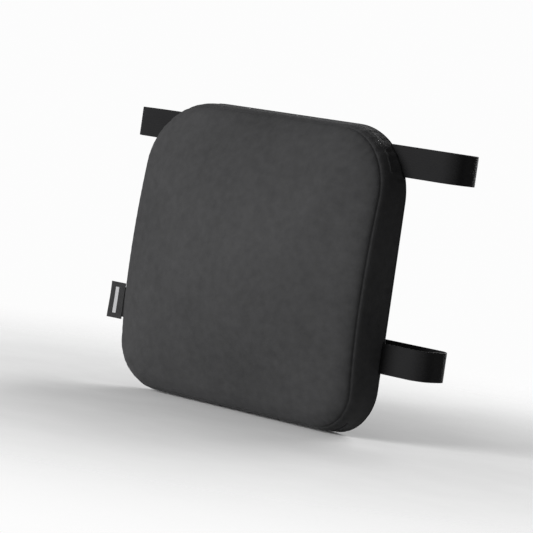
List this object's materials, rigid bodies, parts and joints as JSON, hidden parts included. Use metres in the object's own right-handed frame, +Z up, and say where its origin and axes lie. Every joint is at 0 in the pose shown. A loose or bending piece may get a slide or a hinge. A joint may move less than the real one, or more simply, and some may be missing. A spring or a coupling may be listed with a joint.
{
  "type": "lumbar support cushion",
  "caption": "Padded lumbar cushion in a zipped fabric cover, held to a chair's back by elastic straps with side-release buckles.",
  "frame": {"origin": "on the outer face of the back panel, at the middle of the cushion's width and height", "axes": "-Y towards the sitter, +Y towards the chair's back, +X to the viewer's right from the front, +Z up"},
  "size_m": [0.464, 0.1424, 0.325],
  "materials": {
    "cover_fabric": "matte",
    "back_fabric": "matte",
    "foam": "matte",
    "elastic_webbing": "matte",
    "black_acetal": "satin",
    "zip_tape": "matte",
    "nylon_coil": "satin",
    "zip_metal": "satin",
    "woven_label": "satin"
  },
  "bodies": {
    "cushion": {"foam_core": "foam", "cover_front_panel": "cover_fabric", "cover_boxing": "cover_fabric", "back_panel_main": "back_fabric", "back_panel_side": "back_fabric", "zip_tape_main": "zip_tape", "zip_tape_side": "zip_tape", "zip_coil_main": "nylon_coil", "zip_coil_side": "nylon_coil", "zip_top_stop_main": "zip_metal", "zip_top_stop_side": "zip_metal", "zip_bottom_stop": "zip_metal", "side_label": "woven_label", "upper_strap_right": "elastic_webbing", "upper_buckle_socket": "black_acetal", "upper_strap_left": "elastic_webbing", "upper_strap_span": "elastic_webbing", "lower_strap_right": "elastic_webbing", "lower_buckle_socket": "black_acetal", "lower_strap_left": "elastic_webbing", "lower_strap_span": "elastic_webbing"},
    "zip_slider": {"zip_slider": "zip_metal"},
    "zip_pull": {"zip_pull": "zip_metal"},
    "upper_plug": {"upper_buckle_plug": "black_acetal", "upper_strap_doubled": "elastic_webbing"},
    "upper_arm_top": {"upper_buckle_arm_top": "black_acetal"},
    "upper_arm_bottom": {"upper_buckle_arm_bottom": "black_acetal"},
    "upper_slide": {"upper_strap_slide": "black_acetal", "upper_strap_threaded": "elastic_webbing", "upper_strap_anchor": "elastic_webbing"},
    "lower_plug": {"lower_buckle_plug": "black_acetal", "lower_strap_doubled": "elastic_webbing"},
    "lower_arm_top": {"lower_buckle_arm_top": "black_acetal"},
    "lower_arm_bottom": {"lower_buckle_arm_bottom": "black_acetal"},
    "lower_slide": {"lower_strap_slide": "black_acetal", "lower_strap_threaded": "elastic_webbing", "lower_strap_anchor": "elastic_webbing"}
  },
  "joints": [
    {"name": "zip_slide", "type": "slide", "parent": "cushion", "child": "zip_slider", "axis": [0, 0, -1], "range_m": [0, 0.21]},
    {"name": "zip_pull_swing", "type": "hinge", "parent": "zip_slider", "child": "zip_pull", "pos_m": [-0.112, 0.0026, 0.1053], "axis": [1, 0, 0], "range_deg": [0, 175]},
    {"name": "upper_buckle_release", "type": "slide", "parent": "cushion", "child": "upper_plug", "axis": [-1, 0, 0], "range_m": [0, 0.03], "deforming": ["upper_strap_span", "upper_buckle_arm_top", "upper_buckle_arm_bottom"]},
    {"name": "upper_strap_adjust", "type": "slide", "parent": "upper_plug", "child": "upper_slide", "axis": [1, 0, 0], "range_m": [-0.02, 0.02], "deforming": ["upper_strap_doubled"]},
    {"name": "upper_squeeze_top", "type": "hinge", "parent": "upper_plug", "child": "upper_arm_top", "pos_m": [-0.0035, 0.0513, 0.144], "axis": [0, 1, 0], "range_deg": [0, 12], "stiffness_Nm_per_rad": 0.05},
    {"name": "upper_squeeze_bottom", "type": "hinge", "parent": "upper_plug", "child": "upper_arm_bottom", "pos_m": [-0.0035, 0.0513, 0.116], "axis": [0, 1, 0], "range_deg": [-12, 0], "stiffness_Nm_per_rad": 0.05},
    {"name": "lower_buckle_release", "type": "slide", "parent": "cushion", "child": "lower_plug", "axis": [-1, 0, 0], "range_m": [0, 0.03], "deforming": ["lower_strap_span", "lower_buckle_arm_top", "lower_buckle_arm_bottom"]},
    {"name": "lower_strap_adjust", "type": "slide", "parent": "lower_plug", "child": "lower_slide", "axis": [1, 0, 0], "range_m": [-0.02, 0.02], "deforming": ["lower_strap_doubled"]},
    {"name": "lower_squeeze_top", "type": "hinge", "parent": "lower_plug", "child": "lower_arm_top", "pos_m": [-0.0035, 0.0513, -0.062], "axis": [0, 1, 0], "range_deg": [0, 12], "stiffness_Nm_per_rad": 0.05},
    {"name": "lower_squeeze_bottom", "type": "hinge", "parent": "lower_plug", "child": "lower_arm_bottom", "pos_m": [-0.0035, 0.0513, -0.09], "axis": [0, 1, 0], "range_deg": [-12, 0], "stiffness_Nm_per_rad": 0.05}
  ],
  "couplings": [
    {"joint": "upper_squeeze_bottom", "follows": "upper_squeeze_top", "ratio": -1},
    {"joint": "lower_squeeze_bottom", "follows": "lower_squeeze_top", "ratio": -1}
  ]
}
